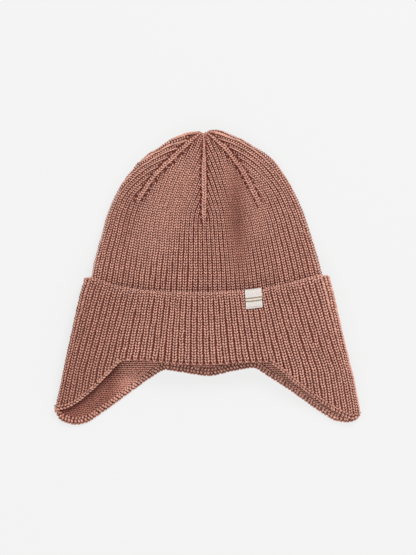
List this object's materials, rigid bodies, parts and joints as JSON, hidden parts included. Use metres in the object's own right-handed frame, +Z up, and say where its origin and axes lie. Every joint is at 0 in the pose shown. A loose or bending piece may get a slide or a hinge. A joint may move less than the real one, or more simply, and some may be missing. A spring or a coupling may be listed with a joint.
{
  "type": "knit earflap hat",
  "caption": "Ribbed knit hat lying flat: rounded crown gathered at the top, thick turned cuff that ends in two earflaps folded down their middles, and a small woven label over the cuff's fold.",
  "frame": {"origin": "on the table, under the middle of the lying hat's box", "axes": "+X across the hat, +Y from the brim to the top of the crown, +Z up from the table, out of the hat's front"},
  "size_m": [0.2606, 0.2513, 0.0272],
  "materials": {
    "knit_crown": "soft brushed wool-blend yarn in a ribbed knit, matt, dusty brown pink",
    "knit_cuff": "the same yarn in a bolder rib, matt, dusty brown pink",
    "woven_label": "off-white woven tape with a plain woven stripe"
  },
  "bodies": {
    "root": {"crown": "knit_crown", "cuff": "knit_cuff", "label": "woven_label"}
  },
  "joints": []
}
